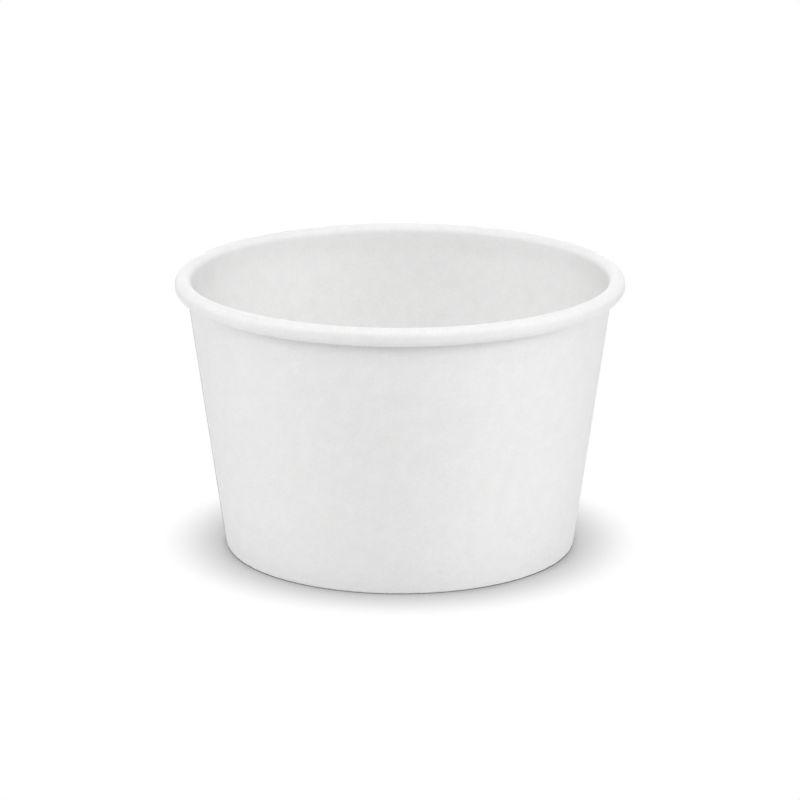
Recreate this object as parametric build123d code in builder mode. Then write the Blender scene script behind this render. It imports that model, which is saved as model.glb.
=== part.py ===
from build123d import *
import os
from math import acos, atan2, cos, degrees, radians, sin, tan

# Paper soup container: a board sidewall with a lapped side seam, a rolled rim and a folded hem,
# and a board base disc whose skirt stands inside the hem.
# The origin is on the table under the middle of the container, with +Z up. Lengths are millimetres.

# Overall sizes
rim_diameter = 98.0  # across the outside of the rolled rim
base_diameter = 76.9  # across the outside of the wall, carried down to the table
height = 60.7  # table to the top of the rim

# Boards
wall_board = 0.40  # thickness of the sidewall's board
base_board = 0.35  # thickness of the base disc's board
seal_gap = 0.02  # sealing film between two boards that are stuck together

# Neck and rolled rim
neck_drop = 6.1  # top of the rim to where the leaning wall turns upright
rim_overhang = 3.1  # outside of the upright neck to the outside of the roll
roll_side = 0.38  # straight stretch of the roll's outside, between its crown and its underside
tuck_turn = 120.0  # degrees that the underside of the roll turns in, as far as the cut edge
tuck_gap = 0.15  # that cut edge to the lapped wall

# Base and hem
base_recess = 6.5  # table to the underside of the base disc
hem_clearance = 1.3  # top of the hem to the underside of the base disc

# Side seam
seam_azimuth = 171.0  # degrees from +X to the edge of the board that lies inside the lap
lap_width = 8.0  # overlap of the board's two ends, measured round the neck
lap_foot = 1.2  # table to the trimmed lower corner of the lap
lap_press_share = 0.75  # what the pressed lap adds to the wall, as a share of the board

# Bends, each drawn in flats close to its arc. An even count puts an edge along the very top of the rim
crown_flat_count = 8
tuck_flat_count = 4
fold_flat_count = 2

# The wall leans out from its foot to the neck, measured on its outer face
rim_radius = rim_diameter / 2
base_radius = base_diameter / 2
neck_radius = rim_radius - rim_overhang
neck_height = height - neck_drop
wall_lean = atan2(neck_radius - base_radius, neck_height)
lean_angle = degrees(wall_lean)


def wall_radius(z, depth):
    """Radius, at height z, of the cone that lies that deep inside the outer face of the wall."""
    return base_radius + z * tan(wall_lean) - depth / cos(wall_lean)


# Stack of boards at the foot: wall, skirt and hem, with sealing film between them
skirt_outer_depth = wall_board + seal_gap
skirt_inner_depth = skirt_outer_depth + base_board
fold_depth = skirt_inner_depth + seal_gap + wall_board
hem_height = base_recess - hem_clearance
skirt_foot = wall_board + seal_gap

# Lap: the board climbs over its own start on a tangent, then lies on it
lap_rise = wall_board * lap_press_share
middle_radius = wall_radius(neck_height / 2, 0)
climb_angle = degrees(acos(middle_radius / (middle_radius + lap_rise)))
lap_angle = degrees(lap_width / neck_radius)
climb_azimuth = seam_azimuth - climb_angle

# Roll: a half-round crown as wide as the roll, a short upright side, and a tuck that turns in
# until the cut edge is near the lapped wall
crown_outside = (rim_overhang + wall_board) / 2
crown_centre_r = rim_radius - crown_outside
crown_centre_z = height - crown_outside
tuck_outside = (rim_overhang - lap_rise - tuck_gap) / (1 - cos(radians(tuck_turn)))
tuck_centre_r = rim_radius - tuck_outside
tuck_centre_z = crown_centre_z - roll_side

# Fold under the base: its two inside corners
hem_crease = (wall_radius(wall_board, fold_depth - wall_board), wall_board)
wall_crease = (wall_radius(wall_board, wall_board), wall_board)


def bend_points(centre, radius, start, turn, flat_count):
    """Points about a centre, from one angle through a turn, for a bend in that many flats."""
    angles = [radians(start + turn * step / flat_count) for step in range(flat_count + 1)]
    return [(centre[0] + radius * cos(angle), centre[1] + radius * sin(angle)) for angle in angles]


def fold_points(depth):
    """Points round the fold, at that depth in the board. The fold is creased sharp inside."""
    radius = wall_board - depth
    if radius == 0:
        return [hem_crease, wall_crease]
    hem_side = bend_points(hem_crease, radius, 180 - lean_angle, 90 + lean_angle, fold_flat_count)
    wall_side = bend_points(wall_crease, radius, 270, 90 - lean_angle, fold_flat_count)
    return [*hem_side, *wall_side]


# The faces of the sidewall's board, drawn at a depth from the face that is outside on the wall.
# Round the fold that face is next to the table, and round the roll it is on the hollow side.
def hem_line(depth):
    """Down the hem, round the fold and up to the foot of the lap."""
    return Polyline(
        (wall_radius(hem_height, fold_depth - depth), hem_height),
        *fold_points(depth),
        (wall_radius(lap_foot, depth), lap_foot),
    )


def wall_line(depth):
    """Up the leaning wall and the upright neck, to the start of the roll."""
    return Polyline(
        (wall_radius(lap_foot, depth), lap_foot),
        (neck_radius - depth, neck_height + depth * tan(wall_lean / 2)),
        (neck_radius - depth, crown_centre_z),
    )


def crown_line(depth):
    """Over the top of the roll."""
    centre = (crown_centre_r, crown_centre_z)
    radius = crown_outside - wall_board + depth
    return Polyline(*bend_points(centre, radius, 180, -180, crown_flat_count))


def side_line(depth):
    """Down the outside of the roll."""
    radius = rim_radius - wall_board + depth
    return Line((radius, crown_centre_z), (radius, tuck_centre_z))


def tuck_line(depth):
    """In under the roll, to the cut edge."""
    centre = (tuck_centre_r, tuck_centre_z)
    radius = tuck_outside - wall_board + depth
    return Polyline(*bend_points(centre, radius, 0, -tuck_turn, tuck_flat_count))


body_lines = [wall_line, crown_line, side_line]
board_lines = [hem_line, *body_lines, tuck_line]


def board_section(azimuth, lines, depth=0):
    """Section of the board along those lines, on a plane through the axis, its outer face that deep."""
    with BuildSketch(Plane.XZ.rotated((0, 0, azimuth))) as section:
        with BuildLine():
            outer = [line(depth) for line in lines]
            inner = [line(depth + wall_board) for line in lines]
            Line(outer[0] @ 0, inner[0] @ 0)
            Line(outer[-1] @ 1, inner[-1] @ 1)
        make_face()
    return section.sketch


with BuildPart() as sidewall:
    # The board goes right round, but for the stretch of wall and roll that climbs over its own start
    revolve(board_section(climb_azimuth, board_lines), Axis.Z)
    revolve(board_section(climb_azimuth, body_lines), Axis.Z, climb_angle, mode=Mode.SUBTRACT)
    # The climb, and the lap that lies on the wall and inside the roll
    climb_start = board_section(climb_azimuth, body_lines)
    climb_end = board_section(seam_azimuth, body_lines, -lap_rise)
    loft([climb_start, climb_end], ruled=True)
    revolve(climb_end, Axis.Z, lap_angle)
sidewall.part.label = "sidewall"

with BuildPart() as base_disc:
    # The disc and its skirt, which stands between the wall and the hem. The bend is creased sharp inside.
    base_top = base_recess + base_board
    skirt_crease = (wall_radius(base_recess, skirt_inner_depth), base_recess)
    with BuildSketch(Plane.XZ):
        with BuildLine():
            upper = Polyline(
                (0, base_top),
                *bend_points(skirt_crease, base_board, 90, -90 - lean_angle, fold_flat_count),
                (wall_radius(skirt_foot, skirt_outer_depth), skirt_foot),
            )
            lower = Polyline(
                (0, base_recess),
                skirt_crease,
                (wall_radius(skirt_foot, skirt_inner_depth), skirt_foot),
            )
            Line(upper @ 0, lower @ 0)
            Line(upper @ 1, lower @ 1)
        make_face()
    revolve(axis=Axis.Z)
base_disc.part.label = "base_disc"

os.makedirs("parts", exist_ok=True)
export_step(sidewall.part, "parts/sidewall.step")
export_step(base_disc.part, "parts/base_disc.step")
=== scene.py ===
"""A plain paper soup container: its sidewall board, its base board and a studio stage to show them on."""

from math import atan2, cos, degrees, pi, radians, sin, tan, tau

import bmesh
import bpy
from bpy.props import FloatProperty, FloatVectorProperty, PointerProperty
from mathutils import Matrix, Vector


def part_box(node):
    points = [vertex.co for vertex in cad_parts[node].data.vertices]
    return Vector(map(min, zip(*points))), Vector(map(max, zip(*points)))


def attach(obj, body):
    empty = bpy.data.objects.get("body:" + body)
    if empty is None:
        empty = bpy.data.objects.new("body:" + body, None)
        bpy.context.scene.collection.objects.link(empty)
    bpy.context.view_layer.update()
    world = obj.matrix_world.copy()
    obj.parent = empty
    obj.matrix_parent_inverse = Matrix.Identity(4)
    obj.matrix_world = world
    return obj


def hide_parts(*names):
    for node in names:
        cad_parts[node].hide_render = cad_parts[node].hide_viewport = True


bl_info = {
    "name": "Paper Soup Container",
    "version": (1, 0, 0),
    "blender": (4, 5, 0),
    "location": "View3D > Sidebar > Container",
    "description": "Builds a plain paper soup container with a rolled rim, on a white studio floor",
    "category": "Add Mesh",
}

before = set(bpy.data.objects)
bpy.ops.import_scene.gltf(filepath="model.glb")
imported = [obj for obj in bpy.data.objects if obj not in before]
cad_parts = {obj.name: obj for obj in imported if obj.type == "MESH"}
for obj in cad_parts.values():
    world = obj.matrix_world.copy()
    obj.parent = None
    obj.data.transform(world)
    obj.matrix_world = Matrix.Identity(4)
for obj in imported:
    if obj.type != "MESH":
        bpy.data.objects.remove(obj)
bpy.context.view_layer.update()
WALL_LOW, WALL_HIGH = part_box("sidewall")
BASE_LOW, BASE_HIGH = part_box("base_disc")

# Fineness of the meshes
ROUND_STEPS = 480
WALL_PIECES = 12
CROWN_STEPS = 18
TUCK_STEPS = 12
BEND_STEPS = 6
NECK_STEPS = 5
HEM_PIECES = 4
NECK_PIECES = 2
STEPS_PER_TOOTH = 3
CUT_EDGE_SEGMENTS = 2
CUT_EDGE_ANGLE = radians(60)

# How far the meshes stay inside the CAD's box
BOX_MARGIN = 2e-6

# Where the lamps stand, each as an azimuth from the camera's side and an elevation, in degrees
LEFT_WAY = (-85, 15)
RIGHT_WAY = (75, 15)
FRONT_WAY = (0, 45)
BACK_WAY = (180, 22)
TOP_WAY = (0, 90)

# The floor's painted shade, along the share of the room that a spot on it looks out at
CONTACT_SHARE = 0.32
SHADOW_SHARE = 0.5
SHADE_SAMPLES = 8

WHITE = (1, 1, 1)
UPRIGHT = Vector((0, 0, 1))
SECTION_NORMAL = Vector((0, 1, 0))
WELD_DISTANCE = 1e-6


class ContainerSizes(bpy.types.PropertyGroup):
    """Sizes of the container's two boards."""

    rim_radius: FloatProperty(
        name="Rim radius", description="Axis to the outside of the rolled rim",
        default=min(*WALL_HIGH.xy, *-WALL_LOW.xy) - BOX_MARGIN, subtype="DISTANCE", unit="LENGTH")
    height: FloatProperty(
        name="Height", description="Table to the top of the rolled rim",
        default=WALL_HIGH.z - BOX_MARGIN, subtype="DISTANCE", unit="LENGTH")
    base_radius: FloatProperty(
        name="Base radius", description="Axis to the outside of the wall, carried down to the table",
        default=0.03845, subtype="DISTANCE", unit="LENGTH")
    wall_board: FloatProperty(
        name="Wall board", description="Thickness of the sidewall's board",
        default=0.0004, subtype="DISTANCE", unit="LENGTH")
    base_board: FloatProperty(
        name="Base board", description="Thickness of the base's board",
        default=0.00035, subtype="DISTANCE", unit="LENGTH")
    seal_gap: FloatProperty(
        name="Sealing film", description="Film between two boards that are stuck together",
        default=0.00002, subtype="DISTANCE", unit="LENGTH")
    neck_drop: FloatProperty(
        name="Neck drop", description="Top of the rim to where the leaning wall turns upright",
        default=0.0061, subtype="DISTANCE", unit="LENGTH")
    neck_bend: FloatProperty(
        name="Neck bend", description="Radius of the turn from the leaning wall to the neck",
        default=0.020, subtype="DISTANCE", unit="LENGTH")
    rim_overhang: FloatProperty(
        name="Rim overhang", description="Outside of the neck to the outside of the roll",
        default=0.0031, subtype="DISTANCE", unit="LENGTH")
    roll_side: FloatProperty(
        name="Roll side", description="Straight stretch between the roll's crown and its underside",
        default=0.00038, subtype="DISTANCE", unit="LENGTH")
    tuck_radius: FloatProperty(
        name="Tuck radius", description="Radius of the roll's underside, measured outside",
        default=0.00177, subtype="DISTANCE", unit="LENGTH")
    tuck_turn: FloatProperty(
        name="Tuck turn", description="How far the roll's underside turns in, as far as the cut edge",
        default=radians(120), subtype="ANGLE", unit="ROTATION")
    base_top: FloatProperty(
        name="Base top", description="Table to the upper face of the base",
        default=BASE_HIGH.z, subtype="DISTANCE", unit="LENGTH")
    skirt_foot: FloatProperty(
        name="Skirt foot", description="Table to the cut edge of the base's skirt",
        default=BASE_LOW.z, subtype="DISTANCE", unit="LENGTH")
    hem_height: FloatProperty(
        name="Hem height", description="Table to the cut edge of the hem",
        default=0.0052, subtype="DISTANCE", unit="LENGTH")
    fold_bend: FloatProperty(
        name="Fold bend", description="Radius of the bends of the fold and the skirt, in mid board",
        default=0.00033, subtype="DISTANCE", unit="LENGTH")
    knurl_depth: FloatProperty(
        name="Knurl depth", description="Depth of the crimps pressed into the hem",
        default=0.00006, subtype="DISTANCE", unit="LENGTH")
    seam_azimuth: FloatProperty(
        name="Seam azimuth", description="Turn from +X to the edge of the board inside the lap",
        default=radians(171), subtype="ANGLE", unit="ROTATION")
    climb_width: FloatProperty(
        name="Climb width", description="Stretch in which the board climbs onto its own start",
        default=0.0054, subtype="DISTANCE", unit="LENGTH")
    lap_width: FloatProperty(
        name="Lap width", description="Overlap of the board's two ends, measured round the neck",
        default=0.0080, subtype="DISTANCE", unit="LENGTH")
    lap_rise: FloatProperty(
        name="Lap rise", description="What the pressed lap adds to the wall",
        default=0.0003, subtype="DISTANCE", unit="LENGTH")
    lap_foot: FloatProperty(
        name="Lap foot", description="Table to the trimmed lower corner of the lap",
        default=0.0012, subtype="DISTANCE", unit="LENGTH")
    cut_bevel: FloatProperty(
        name="Cut bevel", description="Rounding along the board's cut edges",
        default=0.00005, subtype="DISTANCE", unit="LENGTH")


class BoardFinish(bpy.types.PropertyGroup):
    """Colours and surface of the white board."""

    white: FloatVectorProperty(
        name="White", description="Colour of the coated board where its pulp is thick",
        default=(0.938, 0.938, 0.935), size=3, min=0, max=1, subtype="COLOR")
    cloud: FloatVectorProperty(
        name="Cloud", description="Colour of the coated board where its pulp is thin",
        default=(0.872, 0.872, 0.869), size=3, min=0, max=1, subtype="COLOR")
    core: FloatVectorProperty(
        name="Core", description="Colour of the board's raw pulp at a cut edge",
        default=(0.80, 0.785, 0.755), size=3, min=0, max=1, subtype="COLOR")
    core_fibre: FloatVectorProperty(
        name="Core fibre", description="Colour of the darker fibres at a cut edge",
        default=(0.66, 0.64, 0.60), size=3, min=0, max=1, subtype="COLOR")
    cloud_share: FloatProperty(
        name="Cloud share", description="Share of the clouds in the coated board's colour",
        default=0.4, min=0, max=1, subtype="FACTOR")
    cloud_scale: FloatProperty(
        name="Cloud scale", description="How many clouds of pulp there are to a metre",
        default=320, min=0)
    grain_scale: FloatProperty(
        name="Grain scale", description="How many grains of the coated face there are to a metre",
        default=1900, min=0)
    fibre_scale: FloatProperty(
        name="Fibre scale", description="How many fibres of a cut edge there are to a metre",
        default=2600, min=0)
    grain: FloatProperty(
        name="Grain", description="Depth of the fine grain pressed into the coated face",
        default=0.000004, subtype="DISTANCE", unit="LENGTH", precision=6)
    fibre: FloatProperty(
        name="Fibre", description="Depth of the fibres at a cut edge",
        default=0.000012, subtype="DISTANCE", unit="LENGTH", precision=6)
    satin: FloatProperty(
        name="Satin", description="Roughness of the coated face",
        default=0.65, min=0, max=1, subtype="FACTOR")
    core_satin: FloatProperty(
        name="Core satin", description="Roughness of a cut edge",
        default=0.9, min=0, max=1, subtype="FACTOR")
    gloss: FloatProperty(
        name="Gloss", description="Strength of the coated face's reflections",
        default=0.15, min=0, max=1, subtype="FACTOR")
    core_gloss: FloatProperty(
        name="Core gloss", description="Strength of a cut edge's reflections",
        default=0.2, min=0, max=1, subtype="FACTOR")


class StudioStage(bpy.types.PropertyGroup):
    """Floor, lamps and camera."""

    floor: FloatVectorProperty(
        name="Floor", description="Colour of the studio floor in the light that it sheds on the container",
        default=(0.88, 0.88, 0.88), size=3, min=0, max=1, subtype="COLOR")
    shadow_reach: FloatProperty(
        name="Shadow reach", description="How far from the container its shadow fades out",
        default=0.014, subtype="DISTANCE", unit="LENGTH")
    # Painted shadow: the floor's colour to the camera where the container hides half the room from it, not
    # cast by the lamps
    shadow: FloatVectorProperty(
        name="Shadow", description="Colour of the floor where the container hides half the room from it",
        default=(0.58, 0.58, 0.58), size=3, min=0, max=1, subtype="COLOR")
    # Painted contact shadow: the floor's colour to the camera in the crease under the fold, not cast by
    # the lamps
    painted_contact_shadow: FloatVectorProperty(
        name="Contact", description="Colour of the floor in the crease under the container's fold",
        default=(0.02, 0.02, 0.02), size=3, min=0, max=1, subtype="COLOR")
    floor_size: FloatProperty(
        name="Floor size", description="Side of the studio floor",
        default=2.0, subtype="DISTANCE", unit="LENGTH")
    lamp_distance: FloatProperty(
        name="Lamp distance", description="Each lamp to the point that it faces",
        default=1.0, subtype="DISTANCE", unit="LENGTH")
    lamp_size: FloatProperty(
        name="Lamp size", description="Side of the soft lamps round the container",
        default=0.7, subtype="DISTANCE", unit="LENGTH")
    top_size: FloatProperty(
        name="Top lamp size", description="Side of the lamp overhead, which draws the rim's shadow",
        default=0.35, subtype="DISTANCE", unit="LENGTH")
    side_power: FloatProperty(
        name="Side lamps", description="Power of each of the two low lamps at the sides",
        default=4.25, min=0, unit="POWER")
    front_power: FloatProperty(
        name="Front lamp", description="Power of the high lamp in front",
        default=5.1, min=0, unit="POWER")
    back_power: FloatProperty(
        name="Back lamp", description="Power of the low lamp behind",
        default=3.2, min=0, unit="POWER")
    top_power: FloatProperty(
        name="Top lamp", description="Power of the lamp overhead",
        default=3.4, min=0, unit="POWER")
    lens: FloatProperty(
        name="Lens", description="Focal length of the camera, in millimetres",
        default=162.0, min=1, unit="CAMERA")
    elevation: FloatProperty(
        name="Elevation", description="How far the camera looks down",
        default=radians(15.94), subtype="ANGLE", unit="ROTATION")
    distance: FloatProperty(
        name="Distance", description="Camera to the point that it looks at",
        default=0.79197, subtype="DISTANCE", unit="LENGTH")
    aim_height: FloatProperty(
        name="Aim height", description="Table to the point on the axis that the camera looks at",
        default=0.03188, subtype="DISTANCE", unit="LENGTH")


# The section of a board is drawn on the plane y = 0, in mid board, from one cut edge to the other

def neck_radius(sizes):
    """Axis to the outside of the upright neck."""
    return sizes.rim_radius - sizes.rim_overhang


def wall_lean(sizes):
    """How far the wall leans out from upright."""
    rise = sizes.height - sizes.neck_drop
    return atan2(neck_radius(sizes) - sizes.base_radius, rise)


def wall_radius(sizes, height, depth):
    """Radius, at that height, of the cone that lies that deep inside the wall's outer face."""
    lean = wall_lean(sizes)
    return sizes.base_radius + height * tan(lean) - depth / cos(lean)


def start_section(bm, radius, height):
    """Puts down the first point of a section and returns it."""
    return bmesh.ops.create_vert(bm, co=(radius, 0, height))["vert"][0]


def run_to(bm, tip, radius, height, pieces=1):
    """Runs the section on from tip in a straight line and returns its new tip."""
    step = (Vector((radius, 0, height)) - tip.co) / pieces
    for _ in range(pieces):
        tip = bmesh.ops.extrude_vert_indiv(bm, verts=[tip])["verts"][0]
        bmesh.ops.translate(bm, verts=[tip], vec=step)
    return tip


def turn_about(bm, tip, radius, height, angle, steps):
    """Turns the section on from tip about that centre and returns its new tip."""
    turned = bmesh.ops.spin(
        bm, geom=[tip], cent=(radius, 0, height), axis=SECTION_NORMAL, angle=angle, steps=steps)
    return next(part for part in turned["geom_last"] if isinstance(part, bmesh.types.BMVert))


def open_section(bm):
    """Points and lines of the section that no face has grown from yet."""
    points = [vert for vert in bm.verts if not vert.link_faces]
    lines = [edge for edge in bm.edges if not edge.link_faces]
    return points, lines


def spin_round(bm, geom, angle, steps, closed=False):
    """Carries a section round the axis and returns where it ends."""
    spun = bmesh.ops.spin(
        bm, geom=geom, cent=(0, 0, 0), axis=UPRIGHT, angle=angle, steps=steps, use_merge=closed)
    return spun["geom_last"]


def draw_hem(bm, sizes):
    """Draws the section of the hem, the fold under the base and the wall's foot below the lap."""
    lean = wall_lean(sizes)
    bend = sizes.fold_bend
    middle = sizes.wall_board / 2
    hem_depth = sizes.wall_board + 2 * sizes.seal_gap + sizes.base_board + middle
    centre = middle + bend
    knurl_top = sizes.hem_height - sizes.wall_board
    tip = start_section(bm, wall_radius(sizes, sizes.hem_height, hem_depth), sizes.hem_height)
    tip = run_to(bm, tip, wall_radius(sizes, knurl_top, hem_depth), knurl_top)
    # Down the hem and round its side of the fold
    hem_centre = wall_radius(sizes, centre, hem_depth) + bend / cos(lean)
    hem_end = centre + bend * sin(lean)
    tip = run_to(bm, tip, wall_radius(sizes, hem_end, hem_depth), hem_end, HEM_PIECES)
    tip = turn_about(bm, tip, hem_centre, centre, -pi / 2 - lean, BEND_STEPS)
    # Along the table, and up round the wall's side of the fold
    wall_centre = wall_radius(sizes, centre, middle) - bend / cos(lean)
    tip = run_to(bm, tip, wall_centre, middle)
    tip = turn_about(bm, tip, wall_centre, centre, lean - pi / 2, BEND_STEPS)
    run_to(bm, tip, wall_radius(sizes, sizes.lap_foot, middle), sizes.lap_foot)


def draw_wall(bm, sizes):
    """Draws the section of the wall above the lap's foot, the neck and the rolled rim."""
    lean = wall_lean(sizes)
    middle = sizes.wall_board / 2
    neck = neck_radius(sizes) - middle
    neck_foot = sizes.height - sizes.neck_drop + middle * tan(lean / 2)
    bend = sizes.neck_bend + middle
    tip = start_section(bm, wall_radius(sizes, sizes.lap_foot, middle), sizes.lap_foot)
    # Up the leaning wall, and round into the upright neck
    bend_reach = bend * tan(lean / 2)
    bend_start = neck_foot - bend_reach * cos(lean)
    tip = run_to(bm, tip, wall_radius(sizes, bend_start, middle), bend_start, WALL_PIECES)
    tip = turn_about(bm, tip, neck - bend, neck_foot + bend_reach, -lean, NECK_STEPS)
    # Over the crown of the roll, down its side and in under it
    crown = (sizes.rim_overhang + sizes.wall_board) / 2
    crown_height = sizes.height - crown
    tip = run_to(bm, tip, neck, crown_height, NECK_PIECES)
    tip = turn_about(bm, tip, sizes.rim_radius - crown, crown_height, pi, CROWN_STEPS)
    tuck_height = crown_height - sizes.roll_side
    tip = run_to(bm, tip, sizes.rim_radius - middle, tuck_height)
    turn_about(bm, tip, sizes.rim_radius - sizes.tuck_radius, tuck_height, sizes.tuck_turn, TUCK_STEPS)


def turn_to_seam(bm, sizes, points):
    """Turns a drawn section from y = 0 to the seam."""
    bmesh.ops.rotate(bm, verts=points, cent=(0, 0, 0), matrix=Matrix.Rotation(sizes.seam_azimuth, 3, "Z"))


def press_knurl(bm, sizes):
    """Presses a ring of crimps into the middle of the hem."""
    step = tau / ROUND_STEPS
    knurl_foot = sizes.lap_foot
    knurl_top = sizes.hem_height - sizes.wall_board
    hem_face = wall_radius(sizes, sizes.hem_height, sizes.wall_board + sizes.base_board)
    crimps = [
        vert for vert in bm.verts
        if knurl_foot < vert.co.z < knurl_top - WELD_DISTANCE and vert.co.xy.length < hem_face
        and round((atan2(vert.co.y, vert.co.x) - sizes.seam_azimuth) / step) % STEPS_PER_TOOTH == 0
    ]
    narrower = 1 - sizes.knurl_depth / hem_face
    bmesh.ops.scale(bm, verts=crimps, vec=(narrower, narrower, 1))


def lift_lap(bm, sizes, lap, climb_angle):
    """Lifts the last stretch of the board off its own start, which it climbs onto."""
    climb_start = sizes.seam_azimuth - climb_angle
    bm.normal_update()
    for vert in lap:
        along = (atan2(vert.co.y, vert.co.x) - climb_start) % tau
        share = min(along / climb_angle, 1)
        lift = sizes.lap_rise * share * share * (3 - 2 * share)
        vert.co -= vert.normal * lift


def spin_wall(bm, sizes):
    """Carries the wall's section right round, over its own start and on to the end of the lap."""
    step = tau / ROUND_STEPS
    climb_steps = round(sizes.climb_width / neck_radius(sizes) / step)
    lap_steps = round(sizes.lap_width / neck_radius(sizes) / step)
    points, lines = open_section(bm)
    turn_to_seam(bm, sizes, points)
    ring_steps = ROUND_STEPS - climb_steps
    ring_end = spin_round(bm, points + lines, ring_steps * step, ring_steps)
    on_the_wall = set(bm.verts)
    end_steps = climb_steps + lap_steps
    spin_round(bm, ring_end, end_steps * step, end_steps)
    lap = [vert for vert in bm.verts if vert not in on_the_wall]
    bmesh.ops.recalc_face_normals(bm, faces=bm.faces)
    lift_lap(bm, sizes, lap, climb_steps * step)


def add_piece(bm, name, node, materials):
    """Makes the piece that stands for a CAD node out of the shaped mesh."""
    bmesh.ops.remove_doubles(bm, verts=bm.verts, dist=WELD_DISTANCE)
    bmesh.ops.recalc_face_normals(bm, faces=bm.faces)
    mesh = bpy.data.meshes.new(name)
    bm.to_mesh(mesh)
    bm.free()
    mesh.shade_smooth()
    for material in materials:
        mesh.materials.append(material)
    piece = bpy.data.objects.new(name, mesh)
    bpy.context.scene.collection.objects.link(piece)
    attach(piece, "root")
    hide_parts(node)
    return piece


def give_thickness(piece, board, bevel):
    """Makes the sheet a board of that thickness, with its cut edges slightly rounded."""
    thick = piece.modifiers.new("board", "SOLIDIFY")
    thick.thickness = board
    thick.offset = 0
    thick.use_even_offset = True
    thick.use_quality_normals = True
    thick.material_offset_rim = 1
    rounded = piece.modifiers.new("cut_edges", "BEVEL")
    rounded.width = bevel
    rounded.segments = CUT_EDGE_SEGMENTS
    rounded.limit_method = "ANGLE"
    rounded.angle_limit = CUT_EDGE_ANGLE
    rounded.harden_normals = True


class NodeSheet:
    """A material's node tree, with short ways to add nodes and links."""

    def __init__(self, name):
        self.material = bpy.data.materials.new(name)
        self.material.use_nodes = True
        self.tree = self.material.node_tree
        self.shader = self.tree.nodes["Principled BSDF"]

    def add(self, kind, **inputs):
        """Adds a node and sets its inputs, named with underscores for spaces."""
        node = self.tree.nodes.new(kind)
        for name, value in inputs.items():
            node.inputs[name.replace("_", " ")].default_value = value
        return node

    def link(self, source, target):
        """Links an output socket to an input socket."""
        self.tree.links.new(source, target)

    def noise(self, scale, detail, stretch=(1, 1, 1)):
        """Adds a noise pattern on Object coordinates and returns its value."""
        place = self.add("ShaderNodeTexCoord")
        mapping = self.add("ShaderNodeMapping", Scale=stretch)
        pattern = self.add("ShaderNodeTexNoise", Scale=scale, Detail=detail)
        self.link(place.outputs["Object"], mapping.inputs["Vector"])
        self.link(mapping.outputs["Vector"], pattern.inputs["Vector"])
        return pattern.outputs["Fac"]

    def blend(self, factor, low, high, low_stop=0.3, high_stop=0.7):
        """Blends two colours along a pattern and returns the node that does it."""
        ramp = self.add("ShaderNodeValToRGB")
        ramp.color_ramp.elements[0].position = low_stop
        ramp.color_ramp.elements[1].position = high_stop
        ramp.color_ramp.elements[0].color = (*low, 1)
        ramp.color_ramp.elements[1].color = (*high, 1)
        self.link(factor, ramp.inputs["Fac"])
        return ramp

    def emboss(self, height, distance, strength=1.0):
        """Bumps the shader's normal by a pattern."""
        bump = self.add("ShaderNodeBump", Strength=strength, Distance=distance)
        self.link(height, bump.inputs["Height"])
        self.link(bump.outputs["Normal"], self.shader.inputs["Normal"])


def coated_board(finish, name):
    """White coated board: clouded pulp under a satin coating with a fine grain."""
    sheet = NodeSheet(name)
    grain = sheet.noise(finish.grain_scale, detail=2)
    clouds = sheet.noise(finish.cloud_scale, detail=3)
    pulp = sheet.add("ShaderNodeMix", Factor=finish.cloud_share)
    sheet.link(grain, pulp.inputs["A"])
    sheet.link(clouds, pulp.inputs["B"])
    colour = sheet.blend(pulp.outputs["Result"], finish.cloud, finish.white)
    sheet.link(colour.outputs["Color"], sheet.shader.inputs["Base Color"])
    sheet.shader.inputs["Roughness"].default_value = finish.satin
    sheet.shader.inputs["Specular IOR Level"].default_value = finish.gloss
    sheet.emboss(grain, finish.grain)
    return sheet.material


def cut_board(finish, name):
    """The raw pulp that shows along a cut edge of the board."""
    sheet = NodeSheet(name)
    fibres = sheet.noise(finish.fibre_scale, detail=5)
    colour = sheet.blend(fibres, finish.core_fibre, finish.core)
    sheet.link(colour.outputs["Color"], sheet.shader.inputs["Base Color"])
    sheet.shader.inputs["Roughness"].default_value = finish.core_satin
    sheet.shader.inputs["Specular IOR Level"].default_value = finish.core_gloss
    sheet.emboss(fibres, finish.fibre)
    return sheet.material


class CONTAINER_OT_sidewall(bpy.types.Operator):
    """Builds the sidewall board, with its hem, lapped seam and rolled rim"""

    bl_idname = "container.sidewall"
    bl_label = "Sidewall board"

    def execute(self, context):
        sizes = context.scene.container_sizes
        finish = context.scene.container_finish
        bm = bmesh.new()
        draw_hem(bm, sizes)
        points, lines = open_section(bm)
        turn_to_seam(bm, sizes, points)
        spin_round(bm, points + lines, tau, ROUND_STEPS, closed=True)
        press_knurl(bm, sizes)
        draw_wall(bm, sizes)
        spin_wall(bm, sizes)
        finishes = [coated_board(finish, "sidewall_coated_board"), cut_board(finish, "sidewall_cut_edge")]
        piece = add_piece(bm, "sidewall_board", "sidewall", finishes)
        give_thickness(piece, sizes.wall_board, sizes.cut_bevel)
        return {"FINISHED"}


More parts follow.
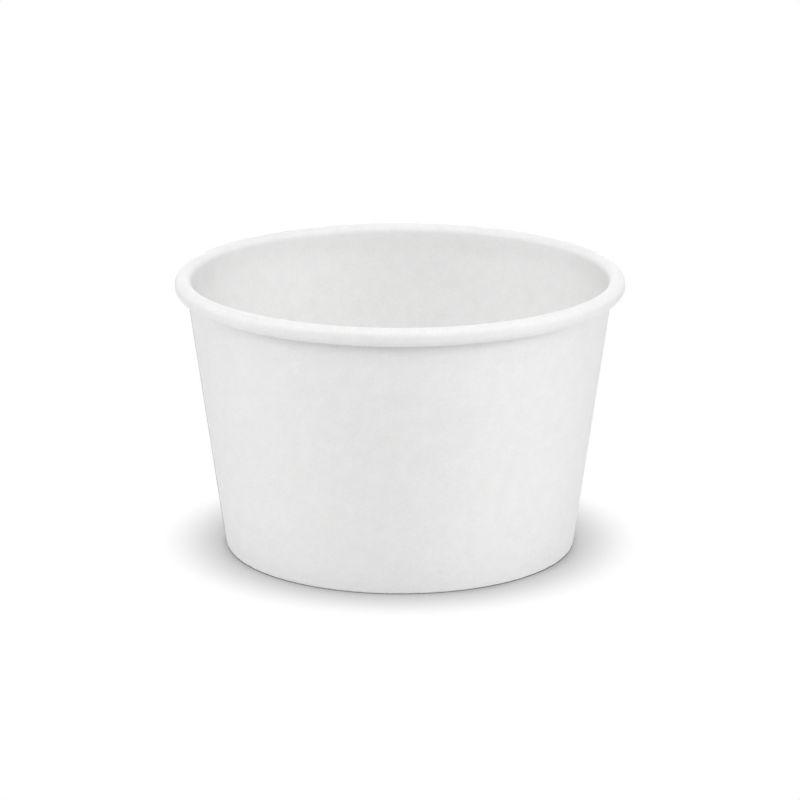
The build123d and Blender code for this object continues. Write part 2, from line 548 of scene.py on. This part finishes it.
class CONTAINER_OT_base(bpy.types.Operator):
    """Builds the base board, a disc with its skirt pressed down"""

    bl_idname = "container.base"
    bl_label = "Base board"

    def execute(self, context):
        sizes = context.scene.container_sizes
        finish = context.scene.container_finish
        lean = wall_lean(sizes)
        middle = sizes.base_board / 2
        depth = sizes.wall_board + sizes.seal_gap + middle
        disc_height = sizes.base_top - middle
        bend_height = disc_height - sizes.fold_bend
        bend_centre = wall_radius(sizes, bend_height, depth) - sizes.fold_bend / cos(lean)
        bm = bmesh.new()
        tip = start_section(bm, 0, disc_height)
        tip = run_to(bm, tip, bend_centre, disc_height, WALL_PIECES)
        tip = turn_about(bm, tip, bend_centre, bend_height, pi / 2 + lean, BEND_STEPS)
        run_to(bm, tip, wall_radius(sizes, sizes.skirt_foot, depth), sizes.skirt_foot, HEM_PIECES)
        points, lines = open_section(bm)
        spin_round(bm, points + lines, tau, ROUND_STEPS, closed=True)
        finishes = [coated_board(finish, "base_coated_board"), cut_board(finish, "base_cut_edge")]
        piece = add_piece(bm, "base_board", "base_disc", finishes)
        give_thickness(piece, sizes.base_board, sizes.cut_bevel)
        return {"FINISHED"}


def seen_share(tree):
    """Adds a value to a node tree: 1 where the camera or a reflection looks, and 0 for shed light."""
    path = tree.nodes.new("ShaderNodeLightPath")
    seen = path.outputs["Is Camera Ray"]
    for ray in ("Is Glossy Ray", "Is Transmission Ray"):
        either = tree.nodes.new("ShaderNodeMath")
        either.operation = "MAXIMUM"
        tree.links.new(seen, either.inputs[0])
        tree.links.new(path.outputs[ray], either.inputs[1])
        seen = either.outputs["Value"]
    return seen


def white_floor(stage):
    """The floor's material. To the camera it glows as white as the room, with a painted shadow that
    darkens it where the container hides the room from it.
    """
    sheet = NodeSheet("studio_floor")
    sheet.shader.inputs["Base Color"].default_value = (*stage.floor, 1)
    sheet.shader.inputs["Roughness"].default_value = 1
    sheet.shader.inputs["Specular IOR Level"].default_value = 0
    openness = sheet.add("ShaderNodeAmbientOcclusion", Distance=stage.shadow_reach)
    openness.samples = SHADE_SAMPLES
    # Painted shadow: a colour ramp on the floor's openness, from the contact colour through the shadow
    # colour to white
    shade = sheet.blend(openness.outputs["AO"], stage.painted_contact_shadow, WHITE, CONTACT_SHARE, 1)
    painted_shadow_stop = shade.color_ramp.elements.new(SHADOW_SHARE)
    painted_shadow_stop.color = (*stage.shadow, 1)
    # The floor glows this painted colour to the camera and in reflections, so the lamps' own shadows don't
    # show on it
    white = sheet.add("ShaderNodeEmission")
    sheet.link(shade.outputs["Color"], white.inputs["Color"])
    choice = sheet.add("ShaderNodeMixShader")
    sheet.link(seen_share(sheet.tree), choice.inputs["Fac"])
    sheet.link(sheet.shader.outputs["BSDF"], choice.inputs[1])
    sheet.link(white.outputs["Emission"], choice.inputs[2])
    sheet.link(choice.outputs["Shader"], sheet.tree.nodes["Material Output"].inputs["Surface"])
    return sheet.material


def add_floor(stage):
    """Adds the white studio floor."""
    bm = bmesh.new()
    bmesh.ops.create_grid(bm, x_segments=1, y_segments=1, size=stage.floor_size / 2)
    mesh = bpy.data.meshes.new("studio_floor")
    bm.to_mesh(mesh)
    bm.free()
    mesh.materials.append(white_floor(stage))
    floor = bpy.data.objects.new("studio_floor", mesh)
    bpy.context.scene.collection.objects.link(floor)


def direction(azimuth, elevation):
    """The way from the container to an azimuth, from the camera's side, and an elevation, in degrees."""
    turn, rise = radians(azimuth), radians(elevation)
    return Vector((sin(turn) * cos(rise), -cos(turn) * cos(rise), sin(rise)))


def add_lamp(name, way, stage, aim, side, power):
    """Adds a square soft lamp that faces the aim from the azimuth and elevation given."""
    lamp = bpy.data.lights.new(name, "AREA")
    lamp.shape = "SQUARE"
    lamp.size = side
    lamp.energy = power
    holder = bpy.data.objects.new(name, lamp)
    outward = direction(*way)
    holder.location = aim + outward * stage.lamp_distance
    holder.rotation_euler = outward.to_track_quat("Z", "Y").to_euler()
    holder.visible_camera = False
    bpy.context.scene.collection.objects.link(holder)


def whiten_room(scene):
    """Makes the room plain white to the camera and in reflections. It sheds no light on the container."""
    world = bpy.data.worlds.new("white_room")
    scene.world = world
    world.use_nodes = True
    room = world.node_tree.nodes["Background"]
    room.inputs["Color"].default_value = (*WHITE, 1)
    world.node_tree.links.new(seen_share(world.node_tree), room.inputs["Strength"])


def add_camera(scene, stage, aim):
    """Adds the camera at the photograph's viewing angle."""
    optics = bpy.data.cameras.new("camera")
    optics.lens = stage.lens
    camera = bpy.data.objects.new("camera", optics)
    camera.location = aim + direction(0, degrees(stage.elevation)) * stage.distance
    camera.rotation_euler = (pi / 2 - stage.elevation, 0, 0)
    scene.collection.objects.link(camera)
    scene.camera = camera


class CONTAINER_OT_stage(bpy.types.Operator):
    """Builds the studio floor, the lamps and the camera"""

    bl_idname = "container.stage"
    bl_label = "Studio stage"

    def execute(self, context):
        scene = context.scene
        stage = scene.container_stage
        aim = Vector((0, 0, stage.aim_height))
        scene.view_settings.view_transform = "Standard"
        add_floor(stage)
        whiten_room(scene)
        add_lamp("left_lamp", LEFT_WAY, stage, aim, stage.lamp_size, stage.side_power)
        add_lamp("right_lamp", RIGHT_WAY, stage, aim, stage.lamp_size, stage.side_power)
        add_lamp("front_lamp", FRONT_WAY, stage, aim, stage.lamp_size, stage.front_power)
        add_lamp("back_lamp", BACK_WAY, stage, aim, stage.lamp_size, stage.back_power)
        add_lamp("top_lamp", TOP_WAY, stage, aim, stage.top_size, stage.top_power)
        add_camera(scene, stage, aim)
        return {"FINISHED"}


class CONTAINER_PT_sidebar(bpy.types.Panel):
    """Lists the container's pieces and its stage"""

    bl_idname = "CONTAINER_PT_sidebar"
    bl_label = "Paper Soup Container"
    bl_space_type = "VIEW_3D"
    bl_region_type = "UI"
    bl_category = "Container"

    def draw(self, context):
        for step in STEPS:
            self.layout.operator(step.bl_idname)


STEPS = (CONTAINER_OT_sidewall, CONTAINER_OT_base, CONTAINER_OT_stage)
CLASSES = (ContainerSizes, BoardFinish, StudioStage, *STEPS, CONTAINER_PT_sidebar)


def register():
    """Registers the classes and hangs the settings on the scene."""
    for item in CLASSES:
        bpy.utils.register_class(item)
    bpy.types.Scene.container_sizes = PointerProperty(type=ContainerSizes)
    bpy.types.Scene.container_finish = PointerProperty(type=BoardFinish)
    bpy.types.Scene.container_stage = PointerProperty(type=StudioStage)


def unregister():
    """Takes the settings off the scene and unregisters the classes."""
    del bpy.types.Scene.container_stage
    del bpy.types.Scene.container_finish
    del bpy.types.Scene.container_sizes
    for item in reversed(CLASSES):
        bpy.utils.unregister_class(item)


def main():
    """Builds the container and its stage."""
    register()
    bpy.ops.container.sidewall()
    bpy.ops.container.base()
    bpy.ops.container.stage()


if __name__ == "__main__":
    main()
